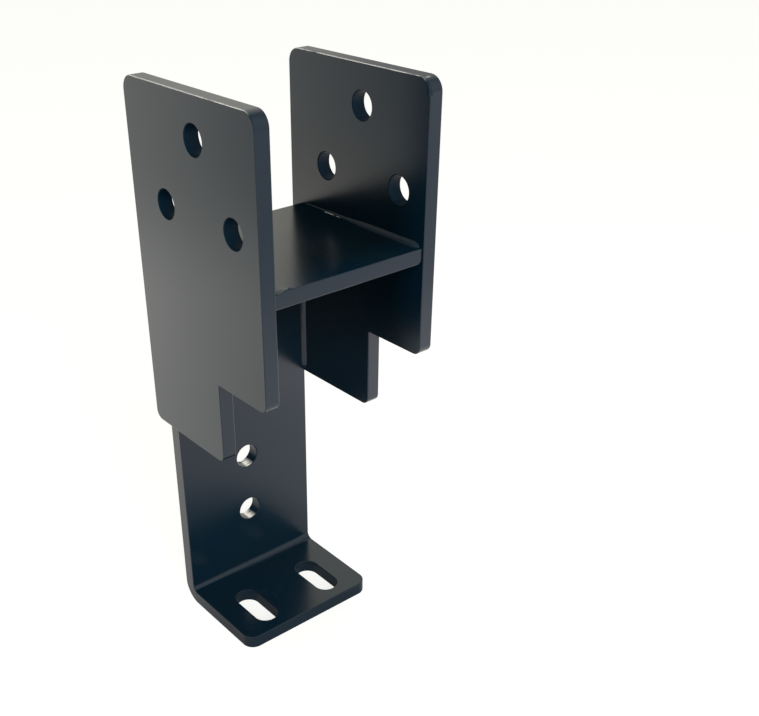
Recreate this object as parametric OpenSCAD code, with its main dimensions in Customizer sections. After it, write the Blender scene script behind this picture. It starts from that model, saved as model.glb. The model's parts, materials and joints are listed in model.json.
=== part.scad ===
// Welded saddle bracket that carries a roof timber or post on a shipping container.
// Two stepped side plates stand either side of a saddle plate, and one strap, folded
// once at the bottom, hangs between their back edges and ends in a slotted foot.
// X runs across, Y from the open front (-) to the strap (+), Z up from the foot's sole.

/* [Overall] */
// Height from the sole of the foot to the top of the side plates
bracket_h = 315; // [285:1:400]
// Clear width between the side plates, which takes the timber
clear_w = 90; // [80:1:160]

/* [Side plates] */
// Thickness of each side plate
side_t = 8; // [5:0.5:12]
// Depth of each side plate, front edge to back edge
side_depth = 106; // [98:1:160]
// Height of each side plate at its back edge
side_h = 184; // [160:1:210]
// How far the front part of each side plate stops above the back part
step_h = 45.5; // [20:0.5:60]
// Depth of that front part, from the front edge to the step
step_depth = 40; // [20:0.5:55]
// Corner radius at the top of each side plate
top_corner_r = 7.5; // [2:0.5:15]
// Corner radius at the bottom of each side plate
bottom_corner_r = 5; // [2:0.5:10]

/* [Side bolt holes] */
// Diameter of the bolt holes through both side plates
side_hole_d = 14.5; // [9:0.5:18]
// Height from the middle hole up to the top of the plates
side_hole_top = 20; // [16:0.5:30]
// Height from the lower pair of holes up to the middle hole
side_hole_rise = 35.5; // [24:0.5:42]
// Distance from the front edge to the front hole of the lower pair
side_hole_front = 19.5; // [14:0.5:30]
// Distance between the two holes of the lower pair
side_hole_pitch = 56; // [36:0.5:64]

/* [Saddle plate] */
// Thickness of the saddle plate
saddle_t = 8; // [5:0.5:12]
// Depth of the pocket, from the top of the side plates down to the saddle
pocket_h = 80; // [70:0.5:100]
// How far the saddle's front edge is set in from the side plates' front edges
saddle_set_in = 1; // [0.5:0.1:6]
// Open joint between the saddle's back edge and the strap, filled by the back weld
root_gap = 2; // [1:0.1:4]
// Radius of the rounded lower edge at the saddle's right end
saddle_edge_r = 3; // [1:0.1:4]

/* [Hanger strap] */
// Thickness of the strap and of its foot
strap_t = 8; // [5:0.5:12]
// How far the strap's top edge laps over the saddle's back edge
strap_lap = 4; // [1:0.5:4.5]
// Length of the foot, from its front edge to the strap's back face
foot_l = 68; // [62:0.5:100]
// Inside radius of the fold
fold_r = 4; // [2:0.5:10]
// Radius of the foot's two front corners
foot_corner_r = 7; // [2:0.5:8]

/* [Strap bolt holes] */
// Diameter of the bolt holes in the strap
strap_hole_d = 14.5; // [9:0.5:18]
// Height of the lower hole above the sole
strap_hole_low = 50; // [30:0.5:60]
// Distance between the two holes
strap_hole_pitch = 38; // [24:0.5:46]

/* [Foot slots] */
// Width of the two slots in the foot
slot_w = 14.5; // [9:0.5:18]
// Length of each slot, end to end
slot_l = 33; // [20:0.5:38]
// Distance between the slots, centre to centre
slot_pitch = 46; // [30:0.5:54]
// Distance from the foot's front edge to the nearer end of the slots
slot_front = 7.5; // [5:0.5:12]

/* [Welds] */
// Leg of the fillet welds between the saddle and the side plates
saddle_weld_leg = 2.2; // [2:0.1:5]
// How far those welds stop short of the saddle's front and back edges
saddle_weld_stop = 2; // [1:0.1:8]
// Leg of the fillet welds between the strap and the side plates
strap_weld_leg = 1.8; // [1.5:0.1:5]
// How far those welds stop above the bottom of the side plates
strap_weld_stop = 2; // [1:0.1:8]
// Height of the crown on the face of every weld
weld_crown = 0.4; // [0.1:0.05:0.5]

/* [Hidden] */
$fn = 96;
// Satin black coat over steel
coat = "#3c4148";
// How far a cutting tool runs past the face that it cuts
past = 1;
half_w = clear_w / 2;
front_y = -side_depth / 2;
back_y = side_depth / 2;
side_bottom_z = bracket_h - side_h;
saddle_top_z = bracket_h - pocket_h;
saddle_bottom_z = saddle_top_z - saddle_t;
saddle_front_y = front_y + saddle_set_in;
strap_face_y = back_y - strap_t;
saddle_back_y = strap_face_y - root_gap;
strap_top_z = saddle_bottom_z + strap_lap;
foot_front_y = back_y - foot_l;
fold_out_r = fold_r + strap_t;
slot_mid_y = foot_front_y + slot_front + slot_l / 2;
// The lower pair of side holes and the middle hole above them, as [y, z]
low_hole_z = bracket_h - side_hole_top - side_hole_rise;
low_front_y = front_y + side_hole_front;
SIDE_HOLES = [
    [low_front_y, low_hole_z],
    [low_front_y + side_hole_pitch, low_hole_z],
    [low_front_y + side_hole_pitch / 2, low_hole_z + side_hole_rise]
];

// Turns a flat drawing in Y and Z into a slab that is w thick along X, from x0
module slab_x(x0, w) {
    translate([x0, 0, 0]) rotate([90, 0, 90]) linear_extrude(w) children();
}

// What is cut off a square corner at the origin to round it, for a body in the first quadrant
module corner_cut(r) {
    difference() {
        translate([-past, -past]) square(r + past);
        translate([r, r]) circle(r);
    }
}

// Places a corner_cut at [y, z]; turn is 0, 90, 180 or 270 as the body lies round the corner
module round_corner(y, z, turn, r) {
    translate([y, z]) rotate(turn) corner_cut(r);
}

// A side plate's outline in Y and Z: a tall back, a shorter front, a square inside corner
module side_outline() {
    difference() {
        translate([front_y, side_bottom_z]) square([side_depth, side_h]);
        translate([front_y - past, side_bottom_z - past])
            square([step_depth + past, step_h + past]);
        round_corner(front_y, bracket_h, -90, top_corner_r);
        round_corner(back_y, bracket_h, 180, top_corner_r);
        round_corner(back_y, side_bottom_z, 90, bottom_corner_r);
        round_corner(front_y + step_depth, side_bottom_z, 0, bottom_corner_r);
        round_corner(front_y, side_bottom_z + step_h, 0, bottom_corner_r);
    }
}

// The left plate: its inner face is the left side of the clear width
module left_side_plate() {
    color(coat)
        difference() {
            slab_x(-half_w - side_t, side_t) side_outline();
            for (p = SIDE_HOLES)
                translate([-half_w - side_t - past, p[0], p[1]]) rotate([0, 90, 0])
                    cylinder(d = side_hole_d, h = side_t + 2 * past);
        }
}

module right_side_plate() {
    mirror([1, 0, 0]) left_side_plate();
}

// The plate that the timber rests on, with the lower edge of its right end rounded
module saddle_plate() {
    color(coat)
        difference() {
            translate([-half_w, saddle_front_y, saddle_bottom_z])
                cube([clear_w, saddle_back_y - saddle_front_y, saddle_t]);
            translate([half_w, saddle_back_y + past, saddle_bottom_z])
                rotate([90, 0, 0])
                    linear_extrude(saddle_back_y - saddle_front_y + 2 * past)
                        rotate(90) corner_cut(saddle_edge_r);
        }
}

// The folded strip seen from the side: leg, quarter-round fold and foot
module strap_section() {
    translate([strap_face_y, fold_out_r])
        square([strap_t, strap_top_z - fold_out_r]);
    translate([foot_front_y, 0])
        square([foot_l - fold_out_r, strap_t]);
    intersection() {
        translate([back_y - fold_out_r, fold_out_r]) difference() {
            circle(fold_out_r);
            circle(fold_r);
        }
        translate([back_y - fold_out_r, 0]) square(fold_out_r);
    }
}

// A slot with round ends along Y, cut down through the foot
module slot_cut(x) {
    straight = slot_l - slot_w;
    translate([x, slot_mid_y, -past]) {
        for (s = [-1, 1])
            translate([0, s * straight / 2, 0])
                cylinder(d = slot_w, h = strap_t + 2 * past);
        translate([-slot_w / 2, -straight / 2, 0])
            cube([slot_w, straight, strap_t + 2 * past]);
    }
}

// One strip, drilled, slotted and folded, that carries the saddle down to the foot
module hanger_strap() {
    color(coat)
        difference() {
            slab_x(-half_w, clear_w) strap_section();
            for (s = [-1, 1]) {
                translate([s * half_w, foot_front_y, -past])
                    linear_extrude(strap_t + 2 * past)
                        rotate(s > 0 ? 90 : 0) corner_cut(foot_corner_r);
                slot_cut(s * slot_pitch / 2);
            }
            for (z = [strap_hole_low, strap_hole_low + strap_hole_pitch])
                translate([0, strap_face_y - past, z]) rotate([-90, 0, 0])
                    cylinder(d = strap_hole_d, h = strap_t + 2 * past);
        }
}

// Section of a fillet weld in a corner at the origin: equal legs and a crowned face.
// The face is an arc through both toes that rises weld_crown above the straight line.
module fillet_section(leg) {
    half_chord = leg / sqrt(2);
    face_r = (half_chord * half_chord + weld_crown * weld_crown) / (2 * weld_crown);
    back_off = (face_r - weld_crown - half_chord) / sqrt(2);
    intersection() {
        square(leg);
        translate([-back_off, -back_off]) circle(face_r);
    }
}

// The rounded end of a bead: the section turned a quarter about the wall that Y stands on
module bead_end(leg) {
    rotate([-90, 0, 0]) rotate_extrude(angle = 90) fillet_section(leg);
}

// A bead of length len up Z, in the corner between the wall at x = 0 and the base at y = 0.
// It starts with a rounded end, and stops flat against a plate or with a second round end.
module fillet_bead(leg, len, round_top) {
    top_z = round_top ? len - leg : len;
    translate([0, 0, leg]) linear_extrude(top_z - leg) fillet_section(leg);
    translate([0, 0, leg]) bead_end(leg);
    if (round_top) translate([0, 0, top_z]) mirror([0, 0, 1]) bead_end(leg);
}

// Joins the left side plate to the top of the saddle
module saddle_weld_left() {
    run = saddle_back_y - saddle_front_y - 2 * saddle_weld_stop;
    color(coat)
        translate([-half_w, saddle_back_y - saddle_weld_stop, saddle_top_z])
            rotate([90, 0, 0]) fillet_bead(saddle_weld_leg, run, true);
}

module saddle_weld_right() {
    mirror([1, 0, 0]) saddle_weld_left();
}

// Joins the left side plate to the strap's front face, up to the saddle's underside
module strap_weld_left() {
    run = saddle_bottom_z - side_bottom_z - strap_weld_stop;
    color(coat)
        translate([-half_w, strap_face_y, side_bottom_z + strap_weld_stop])
            mirror([0, 1, 0]) fillet_bead(strap_weld_leg, run, false);
}

module strap_weld_right() {
    mirror([1, 0, 0]) strap_weld_left();
}

// Fills the open joint behind the saddle and laps onto the strap's top edge
module saddle_weld_back() {
    color(coat)
        slab_x(-half_w, clear_w) polygon([
            [saddle_back_y, saddle_bottom_z],
            [strap_face_y, saddle_bottom_z],
            [strap_face_y, strap_top_z],
            [strap_face_y + strap_t / 2, strap_top_z],
            [saddle_back_y, saddle_top_z - weld_crown]
        ]);
}

left_side_plate();
right_side_plate();
saddle_plate();
hanger_strap();
saddle_weld_left();
saddle_weld_right();
saddle_weld_back();
strap_weld_left();
strap_weld_right();
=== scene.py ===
import json
import math
from functools import partial

import bmesh
import bpy
import numpy as np
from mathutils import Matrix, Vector
from mathutils.geometry import tessellate_polygon


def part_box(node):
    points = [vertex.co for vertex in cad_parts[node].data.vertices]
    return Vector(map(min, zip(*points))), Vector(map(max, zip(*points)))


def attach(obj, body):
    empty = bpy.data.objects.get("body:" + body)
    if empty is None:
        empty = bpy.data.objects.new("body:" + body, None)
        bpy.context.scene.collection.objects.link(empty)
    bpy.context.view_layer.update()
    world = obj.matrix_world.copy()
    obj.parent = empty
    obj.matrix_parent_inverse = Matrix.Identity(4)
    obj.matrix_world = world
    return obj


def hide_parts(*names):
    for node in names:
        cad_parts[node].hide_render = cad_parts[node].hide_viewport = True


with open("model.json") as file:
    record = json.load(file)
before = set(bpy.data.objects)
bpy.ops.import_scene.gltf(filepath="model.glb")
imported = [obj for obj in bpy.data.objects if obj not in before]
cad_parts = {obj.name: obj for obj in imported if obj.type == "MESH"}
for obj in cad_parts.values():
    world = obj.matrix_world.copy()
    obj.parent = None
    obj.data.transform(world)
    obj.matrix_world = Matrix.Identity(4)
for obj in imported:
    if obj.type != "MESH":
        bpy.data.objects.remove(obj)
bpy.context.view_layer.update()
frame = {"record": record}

# Side plates. Two stepped pieces of 8 mm steel plate stand either side of the pocket. Each was cut
# to outline, drilled three times for the timber's bolts, and coated in satin black after welding.
# A pale broken line runs along the top edges, and the right plate's top front corner is knocked blunt.
MM = 0.001
left_low, left_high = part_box("left_side_plate")
right_low, right_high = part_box("right_side_plate")
step_up = 45.5 * MM
step_back = 40 * MM
top_corner = 7.5 * MM
bottom_corner = 5 * MM
cut_corner = 0.4 * MM
broken_edge = 0.45 * MM
knocked_from = 105
knocked_past = 0.7 * MM
mounts = {m["name"]: m for m in frame["record"]["mounts"]}
side_holes = [mounts[name] for name in ("side_hole_middle", "side_hole_front", "side_hole_rear")]


def corner(centre, radius, start, stop, inside=False, steps=13):
    """A round corner of an outline. A point is the centre plus the radius times (cos a, sin a),
    and its outward normal is (cos a, sin a), as a runs from start to stop in degrees. An inside
    corner lies across its centre, so there the radius is taken off."""
    a = np.radians(np.linspace(start, stop, steps))
    out = np.stack([np.cos(a), np.sin(a)], 1)
    return np.array(centre) + (-radius if inside else radius) * out, out


def hole(centre, radius, stretch=0.0, steps=96):
    """The rim of a hole. A point is the centre plus the radius times (cos a, sin a), and moves by
    half of stretch away from the centre along the second axis, which makes a slot of a circle.
    The normal points into the hole, and the rim runs backwards round it."""
    a = np.radians((np.arange(steps, 0, -1) - 0.5) * 360 / steps)
    ray = np.stack([np.cos(a), np.sin(a)], 1)
    shift = np.stack([np.zeros(steps), np.sign(ray[:, 1]) * stretch / 2], 1)
    return np.array(centre) + shift + radius * ray, -ray


def joined(*runs):
    """Runs of an outline's points and normals, one after the other, as one closed outline."""
    return tuple(np.concatenate(part) for part in zip(*runs))


def numbered(sizes):
    """The index array of each run, for runs of these sizes laid one after the other."""
    firsts = np.concatenate([[0], np.cumsum(sizes)])
    return [np.arange(first, stop) for first, stop in zip(firsts, firsts[1:])]


def flat_triangles(points, fields):
    """Corner triples that fill each field of a flat face. A field is a list of index arrays, its
    outline first and then its holes. Triples without area are dropped, and each of the others is
    turned until its signed area is positive."""
    found = []
    for field in fields:
        rims = [[(p, q, 0.0) for p, q in points[rim]] for rim in field]
        found.append(np.concatenate(field)[np.array(tessellate_polygon(rims))])
    found = np.concatenate(found)
    one, two, three = (points[found[:, i]] for i in range(3))
    side, across = two - one, three - one
    area = side[:, 0] * across[:, 1] - side[:, 1] * across[:, 0]
    sliver = 1e-14
    whole = np.abs(area) > sliver
    found, area = found[whole], area[whole]
    found[area < 0] = found[area < 0][:, ::-1]
    return found


def plate(loops, thickness, fields=None, stops=(), blunt=1.0):
    """A flat plate with broken edges, as corners and normals in its own p, q and w, its marks and
    its faces. Each loop is carried through the thickness w on a profile of a quarter circle, a
    straight wall that has a ring at each of stops, and a second quarter circle: at the angle a, a
    point lies broken_edge * (1 - sin a) inside its loop and broken_edge * (1 - cos a) below the
    face, where its normal leans by a from the face's own. On the first face, both are times
    blunt, one value or one for each point. The marks, one value at each corner, say how much
    broken edge it has, and whether it lies on the wall of a hole."""
    at, out = joined(*loops)
    sizes = [len(points) for points, normals in loops]
    rims = numbered(sizes)
    after = np.concatenate([np.roll(rim, -1) for rim in rims])

    a = np.radians(np.linspace(0, 90, 7))
    wall = np.full(len(stops), np.pi / 2)
    lean = np.concatenate([a, wall, a[::-1]])
    w = np.concatenate([broken_edge * (1 - np.cos(a)), np.array(stops),
                        thickness - broken_edge * (1 - np.cos(a[::-1]))])
    faces_up = np.concatenate([-np.ones(len(a)), np.zeros(len(stops)), np.ones(len(a))])
    inset = broken_edge * (1 - np.sin(lean))

    rings, count = len(w), len(at)
    reach = np.ones((rings, count))
    reach[:len(a)] = blunt
    corners = np.empty((rings, count, 3))
    corners[:, :, :2] = at - (inset[:, None] * reach)[:, :, None] * out
    corners[:, :, 2] = w[:, None] * reach
    normals = np.empty((rings, count, 3))
    normals[:, :, :2] = np.sin(lean)[:, None, None] * out
    normals[:, :, 2] = (faces_up * np.cos(lean))[:, None]
    drilled = np.repeat(np.arange(len(loops)) > 0, sizes)
    marks = {"broken_edge": np.repeat(np.abs(np.sin(2 * lean)), count),
             "bore": np.outer(lean > 0, drilled).ravel().astype(float)}

    ring = np.arange(rings - 1)[:, None] * count
    walls = np.stack([ring + np.arange(count), ring + after,
                      ring + count + after, ring + count + np.arange(count)], 2).reshape(-1, 4)
    sheet = flat_triangles(corners[0, :, :2], fields or [rims])
    faces = walls.tolist() + sheet[:, ::-1].tolist() + (sheet + (rings - 1) * count).tolist()
    return corners.reshape(-1, 3), normals.reshape(-1, 3), marks, faces


def placed(name, corners, faces, normals=None, marks=None):
    """Puts worked-out corners and faces into a mesh object, with its marks as point attributes.
    Where normals are given, they are the surface's own at each corner."""
    mesh = bpy.data.meshes.new(name)
    mesh.from_pydata(corners.tolist(), [], faces)
    for mark, values in (marks or {}).items():
        mesh.attributes.new(mark, "FLOAT", "POINT").data.foreach_set("value", values)
    mesh.shade_smooth()
    if normals is not None:
        mesh.normals_split_custom_set_from_vertices(normals)
    piece = bpy.data.objects.new(name, mesh)
    bpy.context.scene.collection.objects.link(piece)
    return piece


def side_plate(name, low, high, knocked):
    """A stepped plate between low and high: its outline lies in y and z, its thickness along x. Its
    top front corner may be knocked blunt on the face at low.x: the broken edge there grows evenly
    from the angle knocked_from, in degrees, to the end of the round, by knocked times its own size,
    and is back to its own size knocked_past below that."""
    y0, y1, z0, z1 = low.y, high.y, low.z, high.z
    ys, zs = y0 + step_back, z0 + step_up
    back_round = corner((y1 - top_corner, z1 - top_corner), top_corner, 0, 90)
    front_round = corner((y0 + top_corner, z1 - top_corner), top_corner, 90, 180)
    below_round = np.array([[y0, z1 - top_corner - knocked_past]]), np.array([[-1.0, 0.0]])
    outline = joined(
        back_round,
        front_round,
        below_round,
        corner((y0 + bottom_corner, zs + bottom_corner), bottom_corner, 180, 270),
        corner((ys - cut_corner, zs - cut_corner), cut_corner, 270, 180, inside=True),
        corner((ys + bottom_corner, z0 + bottom_corner), bottom_corner, 180, 270),
        corner((y1 - bottom_corner, z0 + bottom_corner), bottom_corner, 270, 360),
    )
    holes = [hole(m["pos_m"][1:], m["dims"]["r_mm"] * MM) for m in side_holes]
    blunt = np.ones(sum(len(points) for points, directions in [outline] + holes))
    first, steps = len(back_round[0]), len(front_round[0])
    turn = np.linspace(90, 180, steps)
    blunt[first:first + steps] += knocked * np.clip((turn - knocked_from) / (180 - knocked_from), 0, 1)
    corners, normals, marks, faces = plate([outline] + holes, high.x - low.x, blunt=blunt)
    corners = corners[:, [2, 0, 1]] + (low.x, 0, 0)
    return placed(name, corners, faces, normals[:, [2, 0, 1]], marks)


def node(tree, kind, **values):
    """A shader node with its settings, or its inputs, given by name."""
    made = tree.nodes.new("ShaderNode" + kind)
    for name, value in values.items():
        label = name.replace("_", " ")
        if label in made.inputs:
            made.inputs[label].default_value = value
        else:
            setattr(made, name, value)
    return made


def ranged(tree, value, low, high, first=0.0, last=1.0):
    """How far value has come from low to high, as first to last, and held at both ends."""
    made = node(tree, "MapRange", From_Min=low, From_Max=high, To_Min=first, To_Max=last)
    tree.links.new(value, made.inputs["Value"])
    return made.outputs["Result"]


def reckoned(tree, operation, first, *rest):
    """Values joined one after another by one operation."""
    for other in rest:
        made = node(tree, "Math", operation=operation)
        tree.links.new(first, made.inputs[0])
        tree.links.new(other, made.inputs[1])
        first = made.outputs[0]
    return first


def by_mask(tree, mask, outside, within):
    """The value outside where a mask is 0, and within where it is 1."""
    return ranged(tree, mask, 0, 1, outside, within)


def laid(tree, under, upper, share, kind="RGBA"):
    """One colour laid over another by a share, or one value over another where kind is FLOAT. Each
    is plain or comes from a node."""
    made = node(tree, "Mix", data_type=kind)
    first, second, result = {"FLOAT": (2, 3, 0), "RGBA": (6, 7, 2)}[kind]
    tree.links.new(share, made.inputs[0])
    for socket, given in ((made.inputs[first], under), (made.inputs[second], upper)):
        if isinstance(given, tuple):
            socket.default_value = given
        else:
            tree.links.new(given, socket)
    return made.outputs[result]


coat_blues = (0.0003, 0.0120, 0.0255, 1), (0.0012, 0.0130, 0.0245, 1)
# painted shade: the darker colour laid inside the pocket
painted_pocket_shade = (0.0003, 0.0050, 0.0080, 1)
thin_grey = (0.020, 0.024, 0.028, 1)
scuffed_grey = (0.060, 0.075, 0.085, 1)
# pale colour of the top-edge line, the corner chip and the painted glint
pale_marks_and_glint_white = (0.95, 0.93, 0.88, 1)
# bare steel of the strap holes' lower walls, partly a painted reflection
drilled_steel_and_sheen = (0.86, 0.85, 0.82, 1)
foot_scuffs = (-0.010, 0.013, 0.008), (0.010, 0.011, 0.004)
corner_chip = (0.0477, -0.0481, 0.3146), (0.0022, 0.0008, 0.0007)
# place and size of the painted glint on the right bead's thin end
painted_glint_spot = (0.0437, 0.0172, 0.2351), (0.0005, 0.0090, 0.0004)


def satin_coat(name, grain=700, grain_height=0.02 * MM):
    """Satin black coat on steel: a near black blue that drifts in colour and gloss, under a fine skin of
    bumps. Inside the pocket it is painted darker as painted shade. It is duller on the saddle's front
    right, dry on the walls of the side plates' holes, thin on the broken edges and scuffed on the foot.
    It carries a pale broken line along the top edges, bare steel at one corner, a painted glint at a
    bead's thin end, and bare steel low on the walls of the strap's holes, laid only where they face up:
    partly bare metal, partly a painted reflection."""
    material = bpy.data.materials.new(name)
    material.use_nodes = True
    tree = material.node_tree
    link = tree.links.new
    between, both, by, over = (partial(kind, tree) for kind in (ranged, reckoned, by_mask, laid))
    shader = tree.nodes["Principled BSDF"]
    shader.inputs["IOR"].default_value = 1.5
    where = node(tree, "TexCoord").outputs["Object"]
    place = node(tree, "SeparateXYZ")
    link(where, place.inputs["Vector"])
    x, y, z = (place.outputs[axis] for axis in "XYZ")
    facing = node(tree, "SeparateXYZ")
    link(node(tree, "NewGeometry").outputs["Normal"], facing.inputs["Vector"])
    facing_x, facing_z = facing.outputs["X"], facing.outputs["Z"]
    edge = node(tree, "Attribute", attribute_name="broken_edge").outputs["Fac"]
    bore = node(tree, "Attribute", attribute_name="bore").outputs["Fac"]

    def cloud(scale, detail=2, stretch=(1, 1, 1)):
        """Noise from 0 to 1, its grain drawn out by the inverse of stretch along each axis."""
        drawn = node(tree, "Mapping", Scale=stretch)
        link(where, drawn.inputs["Vector"])
        made = node(tree, "TexNoise", Scale=scale, Detail=detail)
        link(drawn.outputs["Vector"], made.inputs["Vector"])
        return made.outputs["Fac"]

    def spot(centre, size):
        """1 in the middle of an ellipsoid of half axes size, and 0 from its skin outwards."""
        local = node(tree, "Mapping", vector_type="TEXTURE", Location=centre, Scale=size)
        link(where, local.inputs["Vector"])
        far = node(tree, "VectorMath", operation="LENGTH")
        link(local.outputs["Vector"], far.inputs[0])
        return between(far.outputs["Value"], 1.0, 0.5)

    # The whole coat's slow drift.
    drift = cloud(22)
    tint = node(tree, "ValToRGB")
    for stop, position, blue in zip(tint.color_ramp.elements, (0.35, 0.65), coat_blues):
        stop.position = position
        stop.color = blue
    link(drift, tint.inputs["Fac"])
    gloss = between(drift, 0.3, 0.7, 0.205, 0.245)

    # Where it is thin or scuffed.
    thin = both("MULTIPLY", edge, between(cloud(90), 0.45, 0.7, 0.0, 0.35))
    scuffs = both("MULTIPLY", spot(*foot_scuffs),
                  between(cloud(260, 3, (1, 0.3, 1)), 0.52, 0.66, 0.0, 0.12))

    # Pale marks: a broken line along the top edges, bare steel at the knocked corner, and a painted
    # glint at the right bead's thin end. Then bare steel low on the walls of the strap's holes, partly a
    # painted reflection.
    # a pale broken line along the top edges that face up and to the left
    top_line = both("MULTIPLY", between(edge, 0.1, 0.5), between(facing_x, -0.1, -0.3),
                    between(facing_z, 0.1, 0.3), between(z, 0.312, 0.314),
                    between(y, -0.050, -0.044), between(cloud(150, 3, (1, 0.35, 1)), 0.30, 0.42))
    chip = both("MULTIPLY", spot(*corner_chip), between(cloud(420), 0.4, 0.5, 0.10, 0.35))
    # painted glint: a pale spot, broken into dashes, at the right bead's thin end
    bead_glint = both("MULTIPLY", spot(*painted_glint_spot),
                      between(cloud(700, 2, (1, 0.6, 1)), 0.45, 0.55, 0.0, 0.8))
    pale_marks_and_glint = both("MAXIMUM", top_line, chip, bead_glint)
    strap_wall = both("MULTIPLY", bore, between(y, 0.043, 0.044))
    # bare steel on the strap holes' lower walls, only where they face up and to the left: partly bare
    # metal, partly a painted reflection
    low_wall = both("MULTIPLY", strap_wall, between(facing_z, 0.80, 0.92),
                    between(facing_x, 0.2, 0.0, 0.35, 1.0),
                    between(cloud(300, 2, (0.2, 1.6, 0.2)), 0.36, 0.46, 0.2, 1.0))

    # Painted shade inside the pocket, and where the coat is dry or dull: in the side plates' holes, and
    # on the saddle's front right.
    across = node(tree, "Math", operation="ABSOLUTE")
    link(x, across.inputs[0])
    # painted shade: between the side plates, back from the front edge and from 150 to 285 mm up, the
    # coat is painted darker where shade falls in the pocket
    inside = both("MULTIPLY", between(across.outputs[0], 0.0458, 0.0452),
                  between(y, -0.050, -0.030), between(z, 0.150, 0.185), between(z, 0.285, 0.255))
    dry = both("MULTIPLY", both("SUBTRACT", bore, strap_wall), between(z, 0.05, 0.06))
    dull = both("MULTIPLY", between(x, -0.004, 0.022), between(facing_z, 0.8, 0.9),
                between(y, 0.020, -0.015), between(z, 0.225, 0.230))

    colour = over(tint.outputs["Color"], painted_pocket_shade, by(inside, 0, 0.85))
    for upper, share in ((thin_grey, thin), (scuffed_grey, scuffs), (pale_marks_and_glint_white, pale_marks_and_glint),
                         (drilled_steel_and_sheen, low_wall)):
        colour = over(colour, upper, share)
    link(colour, shader.inputs["Base Color"])
    link(by(low_wall, 0.0, 0.9), shader.inputs["Metallic"])
    link(both("MULTIPLY", by(strap_wall, 0.5, 0.32), by(dry, 1.0, 0.28)),
         shader.inputs["Specular IOR Level"])
    rough = node(tree, "MapRange", To_Max=0.3)
    link(both("MAXIMUM", pale_marks_and_glint, low_wall), rough.inputs["Value"])
    link(both("MULTIPLY", gloss, by(bore, 1.0, 1.6), by(dry, 1.0, 1.5), by(dull, 1.0, 1.45)),
         rough.inputs["To Min"])
    link(rough.outputs["Result"], shader.inputs["Roughness"])

    skin = node(tree, "Bump", Strength=0.25, Distance=grain_height)
    link(cloud(grain), skin.inputs["Height"])
    link(skin.outputs["Normal"], shader.inputs["Normal"])
    return material


plate_coat = satin_coat("satin_black_coat")
for name, cad_node, low, high, knocked in (
        ("side_left", "left_side_plate", left_low, left_high, 0.0),
        ("side_right", "right_side_plate", right_low, right_high, 3.8)):
    side = side_plate(name, low, high, knocked)
    side.data.materials.append(plate_coat)
    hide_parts(cad_node)
    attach(side, "root")

# Saddle. One 8 mm plate spans the pocket and carries the timber. It is welded in by its ends,
# set 1 mm back from the side plates' front edges, and its lower right edge is ground round.
saddle_low, saddle_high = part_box("saddle_plate")
ground_corner = 3 * MM
sawn_corner = 0.15 * MM
dent_run = 14 * MM
dent_reach = 5 * MM


def bell(distance, width):
    """A bell curve: exp(-(distance / width) squared)."""
    return np.exp(-(distance / width) ** 2)


def dent(x, y):
    """How far the saddle's top lies off flat beside the left plate's front edge, where heat has
    drawn it: a bell-shaped hollow, then a smaller bell-shaped ridge, both dying away backwards."""
    from_left = x - saddle_low.x
    hollow = -0.75 * MM * bell(from_left - 2.6 * MM, 3.0 * MM)
    ridge = 0.55 * MM * bell(from_left - 7.6 * MM, 1.3 * MM)
    return (hollow + ridge) * bell(y - saddle_low.y, 2.2 * MM)


def saddle():
    """The plate seen from the front, its outline in x and z, carried back to front along -y. Its
    top carries the dent, which dies away down to half the thickness, and the normals there lean
    against the dent's slope."""
    x0, x1, z0, z1 = saddle_low.x, saddle_high.x, saddle_low.z, saddle_high.z
    count = 36
    beside = np.linspace(dent_run, 2 * sawn_corner, count)
    above = np.stack([x0 + beside, np.full(count, z1)], 1), np.tile((0.0, 1.0), (count, 1))
    below = np.stack([x0 + beside[::-1], np.full(count, z0)], 1), np.tile((0.0, -1.0), (count, 1))
    runs = [
        corner((x1 - sawn_corner, z1 - sawn_corner), sawn_corner, 0, 90, steps=3),
        above,
        corner((x0 + sawn_corner, z1 - sawn_corner), sawn_corner, 90, 180, steps=3),
        corner((x0 + sawn_corner, z0 + sawn_corner), sawn_corner, 180, 270, steps=3),
        below,
        corner((x1 - ground_corner, z0 + ground_corner), ground_corner, 270, 360),
    ]
    part = numbered([len(run[0]) for run in runs])
    top, bottom = part[1], part[4][::-1]
    fields = [[np.concatenate([part[0], top[:1], bottom[:1], part[5]])],
              [np.concatenate([top[-1:], part[2], part[3], bottom[-1:]])]]
    fields += [[np.array([top[i], top[i + 1], bottom[i + 1], bottom[i]])] for i in range(count - 1)]
    depth = saddle_high.y - saddle_low.y
    stops = depth - np.linspace(dent_reach, 2 * broken_edge, 13)
    corners, normals, marks, faces = plate([joined(*runs)], depth, fields, stops)
    corners = corners[:, [0, 2, 1]] * (1, -1, 1) + (0, saddle_high.y, 0)
    normals = normals[:, [0, 2, 1]] * (1, -1, 1)

    x, y, z = corners.T
    near_top = np.clip((z - z0) / (z1 - z0) * 2 - 1, 0, 1)
    step = 0.05 * MM
    normals[:, 0] -= near_top * normals[:, 2] * (dent(x + step, y) - dent(x - step, y)) / (2 * step)
    normals[:, 1] -= near_top * normals[:, 2] * (dent(x, y + step) - dent(x, y - step)) / (2 * step)
    normals /= np.linalg.norm(normals, axis=1)[:, None]
    corners[:, 2] += near_top * dent(x, y)
    return placed("saddle", corners, faces, normals, marks)


saddle_piece = saddle()
saddle_piece.data.materials.append(plate_coat)
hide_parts("saddle_plate")
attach(saddle_piece, "root")

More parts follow.
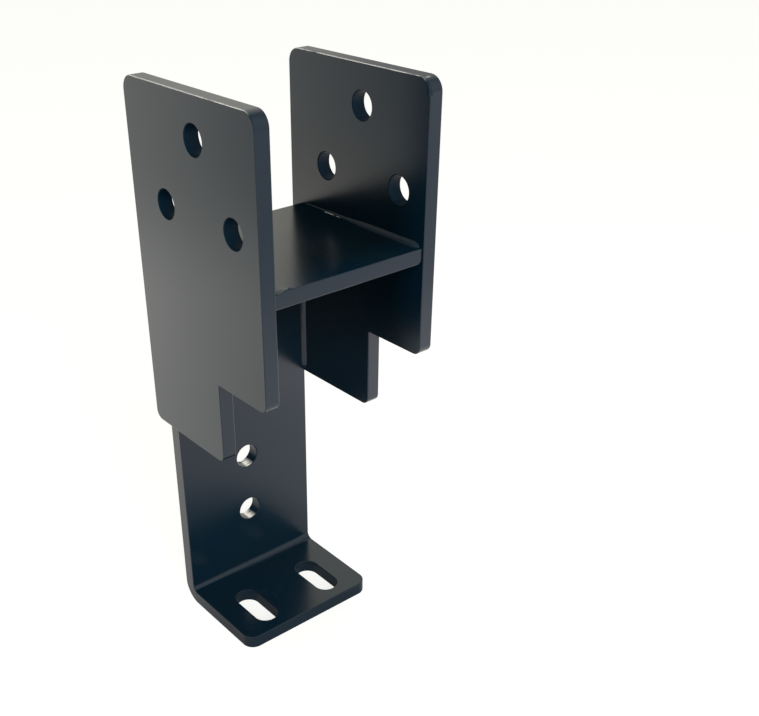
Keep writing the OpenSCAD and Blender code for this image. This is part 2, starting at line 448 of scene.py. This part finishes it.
# Hanger strap. One 90 x 8 mm steel strip, drilled twice and slotted twice while flat, its front
# corners rounded, then folded once to a square leg and foot. The leg is welded in between the side
# plates' back edges.
strap_low, strap_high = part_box("hanger_strap")
strap_thick = 8 * MM
fold_inside = 4 * MM
foot_corner = 7 * MM
slot_run = 33 * MM
slot_width = 14.5 * MM
slot_pitch = 46 * MM
neutral_share = 0.4
fold_length = (fold_inside + neutral_share * strap_thick) * math.pi / 2
fold_y = strap_high.y - strap_thick - fold_inside
fold_z = strap_low.z + strap_thick + fold_inside
strap_holes = [mounts[name] for name in ("strap_hole_upper", "strap_hole_lower")]


def folded(points, directions):
    """Folds a flat strip's points and normals. Its s runs down the leg, through the fold from
    0 to fold_length, and out along the foot; its w is the depth below the inner face. At the angle
    a = 90 degrees * s / fold_length, y is fold_y + (fold_inside + w) cos a and z is
    fold_z - (fold_inside + w) sin a, and the lengths of leg and foot are added straight."""
    x, s, w = points.T
    a = np.clip(s / fold_length, 0, 1) * np.pi / 2
    reach = fold_inside + w
    leg = np.minimum(s, 0)
    foot = np.maximum(s - fold_length, 0)
    bent = np.stack([x, fold_y + reach * np.cos(a) - foot, fold_z - reach * np.sin(a) - leg], 1)
    nx, ns, nw = directions.T
    turned = np.stack([nx, -np.sin(a) * ns + np.cos(a) * nw, -np.cos(a) * ns - np.sin(a) * nw], 1)
    return bent, turned


def strap():
    """The flat strip in x and s, with rings across the fold, cut out and then folded."""
    x0, x1 = strap_low.x, strap_high.x
    top = fold_z - strap_high.z
    end = fold_length + fold_y - strap_low.y
    count = 25
    bend = np.linspace(0, fold_length, count)
    right = np.stack([np.full(count, x1), bend], 1), np.tile((1.0, 0.0), (count, 1))
    left = np.stack([np.full(count, x0), bend[::-1]], 1), np.tile((-1.0, 0.0), (count, 1))
    runs = [
        corner((x0 + sawn_corner, top + sawn_corner), sawn_corner, 180, 270, steps=3),
        corner((x1 - sawn_corner, top + sawn_corner), sawn_corner, 270, 360, steps=3),
        right,
        corner((x1 - foot_corner, end - foot_corner), foot_corner, 0, 90),
        corner((x0 + foot_corner, end - foot_corner), foot_corner, 90, 180),
        left,
    ]
    slot_s = fold_length + fold_y - mounts["foot_slots"]["pos_m"][1]
    cuts = [hole((m["pos_m"][0], fold_z - m["pos_m"][2]), m["dims"]["r_mm"] * MM)
            for m in strap_holes]
    cuts += [hole((x, slot_s), slot_width / 2, slot_run - slot_width)
             for x in (-slot_pitch / 2, slot_pitch / 2)]
    part = numbered([len(run[0]) for run in runs + cuts])
    down, up = part[2], part[5]
    fields = [
        [np.concatenate([part[0], part[1], down[:1], up[-1:]]), part[6], part[7]],
        [np.concatenate([down[-1:], part[3], part[4], up[:1]]), part[8], part[9]],
    ]
    fields += [[np.array([down[i], down[i + 1], up[-2 - i], up[-1 - i]])] for i in range(count - 1)]
    corners, normals, marks, faces = plate([joined(*runs)] + cuts, strap_thick, fields)
    corners, normals = folded(corners, normals)
    return placed("strap", corners, faces, normals, marks)


strap_piece = strap()
strap_piece.data.materials.append(plate_coat)
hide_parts("hanger_strap")
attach(strap_piece, "root")

# Saddle beads. A fillet of weld metal runs along each end of the saddle, in the corner that it
# makes with the side plate. It was laid in one pass, thins towards the back, and stops short of
# both edges. The coat runs over it.
saddle_leg = 2.8 * MM
saddle_crown = 0.13
saddle_rise = 0.78
saddle_stop = 2 * MM
leg_waver = 0.14 * MM
ripple_pitch = 1.3 * MM
ripple_height = 0.012
ring_pitch = 0.22 * MM


def wander(u, size, seed):
    """A slow waver along u: three sines of falling height whose lengths share no measure."""
    lengths = np.array([31.0, 17.3, 9.1]) * MM
    heights = np.array([0.5, 0.3, 0.2]) * size
    starts = seed * np.array([1.0, 2.3, 4.1])
    return (heights * np.sin(2 * np.pi * u[:, None] / lengths + starts)).sum(1)


def bead(length, leg, crown, round_ends, seed, root=((0.0, 0.0),), rise=1.0, thinned=((0, 1), (1, 1))):
    """A bead along u, as corners a, b, u in a corner between the a and b axes, and its faces. At
    the angle v from the a axis its face lies at leg * (1 + crown * sin 2v / root 2) / (cos v +
    sin v), and its height along b is times rise. The leg wavers along the bead, is thinned between
    pairs of (share of the length, share of the leg), shrinks to nothing on a quarter ellipse two
    legs long at a round end, and carries bowed ripples, each ripple_pitch from the last."""
    u = np.linspace(0, length, int(length / ring_pitch))
    v = np.linspace(0, np.pi / 2, 13)
    gone = np.interp(u / length, *np.array(thinned).T)
    for is_round, run in zip(round_ends, (u, length - u)):
        if is_round:
            gone = np.minimum(gone, np.sqrt(1 - (1 - np.clip(run / (2 * leg), 0.002, 1)) ** 2))
    legs = (leg + wander(u, leg_waver, seed)) * gone
    swell = 1 + crown * np.sin(2 * v) / np.sqrt(2)
    bow = 0.5 * np.sin(2 * v)
    ripple = np.sin(2 * np.pi * (u[:, None] / ripple_pitch + bow)) * np.sin(2 * v)
    reach = legs[:, None] * swell * (1 + ripple_height * ripple) / (np.cos(v) + np.sin(v))
    grid = np.empty((len(u), len(v) + len(root), 3))
    grid[:, :len(v), 0] = reach * np.cos(v)
    grid[:, :len(v), 1] = reach * np.sin(v) * rise
    grid[:, len(v):, :2] = np.array(root)
    grid[:, :, 2] = u[:, None]
    count = grid.shape[1]
    first = np.arange(len(u) - 1)[:, None] * count
    here = first + np.arange(count)
    beside = first + np.roll(np.arange(count), -1)
    faces = np.stack([here, beside, beside + count, here + count], 2).reshape(-1, 4).tolist()
    faces += [list(range(count)), list(range(len(u) * count - count, len(u) * count))]
    return grid.reshape(-1, 3), faces


def weld(name, corners, faces, cad_node):
    """Puts a bead in place with its faces turned outwards, and its toes and ends kept sharp."""
    piece = placed(name, corners, faces)
    shape = bmesh.new()
    shape.from_mesh(piece.data)
    bmesh.ops.recalc_face_normals(shape, faces=shape.faces)
    shape.to_mesh(piece.data)
    shape.free()
    piece.data.set_sharp_from_angle(angle=math.radians(50))
    piece.data.materials.append(weld_coat)
    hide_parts(cad_node)
    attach(piece, "root")


weld_coat = satin_coat("coated_weld_metal", grain=450, grain_height=0.05 * MM)
saddle_run = saddle_high.y - saddle_low.y - 2 * saddle_stop
thin_back = ((0, 1), (0.45, 0.85), (0.64, 0.4), (0.76, 0.22), (1, 0.16))
for name, cad_node, wall_x, inward, seed in (
        ("saddle_bead_left", "saddle_weld_left", saddle_low.x, 1, 0.4),
        ("saddle_bead_right", "saddle_weld_right", saddle_high.x, -1, 1.7)):
    local, faces = bead(saddle_run, saddle_leg, saddle_crown, (True, True), seed,
                        rise=saddle_rise, thinned=thin_back)
    place = np.stack([wall_x + inward * local[:, 0],
                      saddle_low.y + saddle_stop + local[:, 2],
                      saddle_high.z + local[:, 1]], 1)
    weld(name, place, faces, cad_node)

# Back bead. It fills the open joint between the saddle's back edge and the strap, and laps over
# the inner half of the strap's top edge, from one side plate to the other.
back_low, back_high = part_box("saddle_weld_back")
back_leg = back_high.y - back_low.y
back_crown = 0.1
joint_floor = back_low.z - strap_high.z
joint_width = strap_high.y - strap_thick - saddle_high.y
local, faces = bead(back_high.x - back_low.x, back_leg, back_crown, (False, False), seed=2.9,
                    root=((0.0, joint_floor), (joint_width, joint_floor), (joint_width, 0.0)),
                    rise=(back_high.z - strap_high.z) / back_leg)
place = np.stack([back_low.x + local[:, 2], saddle_high.y + local[:, 0], strap_high.z + local[:, 1]], 1)
weld("back_bead", place, faces, "saddle_weld_back")

# Strap beads. A smaller fillet runs up each edge of the strap's inner face, from just above the
# side plate's lower end to the underside of the saddle.
strap_leg = 2 * MM
strap_crown = 0.32
strap_stop = 2 * MM
strap_run = saddle_low.z - left_low.z - strap_stop
for name, cad_node, wall_x, inward, seed in (
        ("strap_bead_left", "strap_weld_left", strap_low.x, 1, 3.3),
        ("strap_bead_right", "strap_weld_right", strap_high.x, -1, 5.2)):
    local, faces = bead(strap_run, strap_leg, strap_crown, (True, False), seed)
    place = np.stack([wall_x + inward * local[:, 0],
                      strap_high.y - strap_thick - local[:, 1],
                      left_low.z + strap_stop + local[:, 2]], 1)
    weld(name, place, faces, cad_node)

# Camera. It stands where the photograph was taken from, and its lens is shifted sideways and up, as
# the picture's frame is. Colours are shown as they are, without a film curve.
camera = bpy.data.objects.new("camera", bpy.data.cameras.new("camera"))
camera.location = (-0.2986, -0.4051, 0.4157)
camera.rotation_euler = [math.radians(turn) for turn in (58.460, 0.710, -38.540)]
camera.data.sensor_width = 36
camera.data.lens = 49.63
camera.data.shift_x = 0.0807
camera.data.shift_y = 0.1328
bpy.context.scene.collection.objects.link(camera)
bpy.context.scene.camera = camera
bpy.context.scene.view_settings.view_transform = "Standard"

# Room and lamp. The room is pale grey, lighter in front and high behind on the right, darker
# overhead and almost black behind on the left. The camera sees it white, and it lights at half its
# strength. A wide lamp in front adds soft light, and nothing mirrors it.


def measured(tree, operation, place, given):
    """A place's dot product with a given direction, or its distance from a given point."""
    made = node(tree, "VectorMath", operation=operation)
    tree.links.new(place, made.inputs[0])
    made.inputs[1].default_value = given
    return made.outputs["Value"]


room = bpy.data.worlds.new("pale_room")
room.use_nodes = True
walls = room.node_tree
around = node(walls, "TexCoord").outputs["Generated"]
shade = (0.52, 0.51, 0.48, 1)
for toward, start, stop, colour in (
        ((0.0, 0.0, 1.0), 0.6, 1.0, (0.38, 0.39, 0.40, 1)),
        ((0.40, -0.80, 0.45), 0.70, 1.0, (0.85, 0.85, 0.84, 1)),
        ((0.47, 0.60, 0.64), 0.80, 1.0, (1.12, 1.10, 0.97, 1)),
        ((0.688, 0.664, 0.292), 0.984, 0.993, (0.36, 0.36, 0.34, 1)),
        ((-0.60, 0.78, 0.17), 0.60, 0.92, (0.05, 0.07, 0.09, 1))):
    near = measured(walls, "DOT_PRODUCT", around, toward)
    shade = laid(walls, shade, colour, ranged(walls, near, start, stop))
rays = node(walls, "LightPath")
shade = laid(walls, shade, (1, 1, 0.985, 1), rays.outputs["Is Camera Ray"])
backdrop = walls.nodes["Background"]
walls.links.new(shade, backdrop.inputs["Color"])
walls.links.new(by_mask(walls, rays.outputs["Is Diffuse Ray"], 1, 0.5), backdrop.inputs["Strength"])
bpy.context.scene.world = room

lamp = bpy.data.objects.new("front_lamp", bpy.data.lights.new("front_lamp", "AREA"))
lamp.data.energy = 15
lamp.data.size = 1.0
lamp.visible_glossy = False
lamp_at = Vector((-0.44, -1.08, 0.80))
lit_spot = Vector((0.0, 0.0, 0.12))
lamp.location = lamp_at
lamp.rotation_euler = (lit_spot - lamp_at).to_track_quat("-Z", "Y").to_euler()
bpy.context.scene.collection.objects.link(lamp)

# Floor. It is pale paper that glows near white to the camera, with a painted shadow that dims it round
# the foot. Its glow in what the coat mirrors is painted light that varies by place: dim under the foot
# and brightening to the back right, in front, in a painted pool of light round the foot, and in one
# patch behind on the left and one on the right. It is tinted warm there, and pinker in front.
half_floor = 6.0
floor_mesh = bpy.data.meshes.new("floor")
floor_mesh.from_pydata([(x * half_floor, y * half_floor, 0)
                        for x, y in ((-1, -1), (1, -1), (1, 1), (-1, 1))], [], [(0, 1, 2, 3)])
floor = bpy.data.objects.new("floor", floor_mesh)
bpy.context.scene.collection.objects.link(floor)

pale = bpy.data.materials.new("pale_floor")
pale.use_nodes = True
ground = pale.node_tree
ground.nodes.clear()
between, both = partial(ranged, ground), partial(reckoned, ground)
rays = node(ground, "LightPath")
mirror = rays.outputs["Is Glossy Ray"]
on_floor = node(ground, "TexCoord").outputs["Object"]
from_foot, from_behind, from_left_patch, from_right_patch = (
    measured(ground, "DISTANCE", on_floor, point)
    for point in ((0, 0, 0), (0, 0.1, 0), (-0.24, 0.60, 0), (0.32, -0.26, 0)))
back_right = measured(ground, "DOT_PRODUCT", on_floor, (1.13, 1.0, 0.0))
front = measured(ground, "DOT_PRODUCT", on_floor, (-0.5, -1.0, 0.0))
looked_at = both("ADD", rays.outputs["Is Camera Ray"], rays.outputs["Is Transmission Ray"])
# painted shadow: the glow the camera sees dims to 0.9 within 3 to 6 cm of the foot's middle
seen_with_painted_shadow = both("MULTIPLY", by_mask(ground, looked_at, 0.1, 0.86),
            between(from_foot, 0.03, 0.06, 0.9, 1))
# painted pool of light round the foot, seen only in the coat's reflections
painted_light_pool = both("MULTIPLY", between(from_foot, 0.03, 0.25, 0, 0.50), between(from_behind, 0.5, 0.75, 1, 0))
# painted reflection: the floor's glow for mirror rays, brighter to the back right, in front and in two
# patches, and dim under the foot
painted_reflection = both("ADD", between(back_right, -0.5, 0.6, 0.1, 1.0), between(back_right, 0.10, 0.22, 0, 0.2),
                between(front, 0.45, 0.70, 0, 0.4), painted_light_pool, between(from_left_patch, 0.15, 0.40, 0.28, 0),
                between(from_right_patch, 0.08, 0.22, 0.35, 0))
painted_reflection = both("MULTIPLY", painted_reflection, between(from_foot, 0.04, 0.08, 0.1, 1))
# painted reflection colour: warm in the coat's reflections, and pinker in front
tone = laid(ground, (1, 1, 0.97, 1), (1, 0.985, 0.915, 1), mirror)
tone = laid(ground, tone, (1, 0.925, 0.95, 1), both("MULTIPLY", mirror, between(front, -0.1, 0.08)))
glow = node(ground, "Emission")
ground.links.new(tone, glow.inputs["Color"])
ground.links.new(laid(ground, seen_with_painted_shadow, painted_reflection, mirror, "FLOAT"), glow.inputs["Strength"])
paper = node(ground, "BsdfDiffuse", Color=(0.4, 0.4, 0.4, 1))
lit_paper = node(ground, "AddShader")
ground.links.new(glow.outputs[0], lit_paper.inputs[0])
ground.links.new(paper.outputs[0], lit_paper.inputs[1])
ground.links.new(lit_paper.outputs[0], node(ground, "OutputMaterial").inputs["Surface"])
floor_mesh.materials.append(pale)
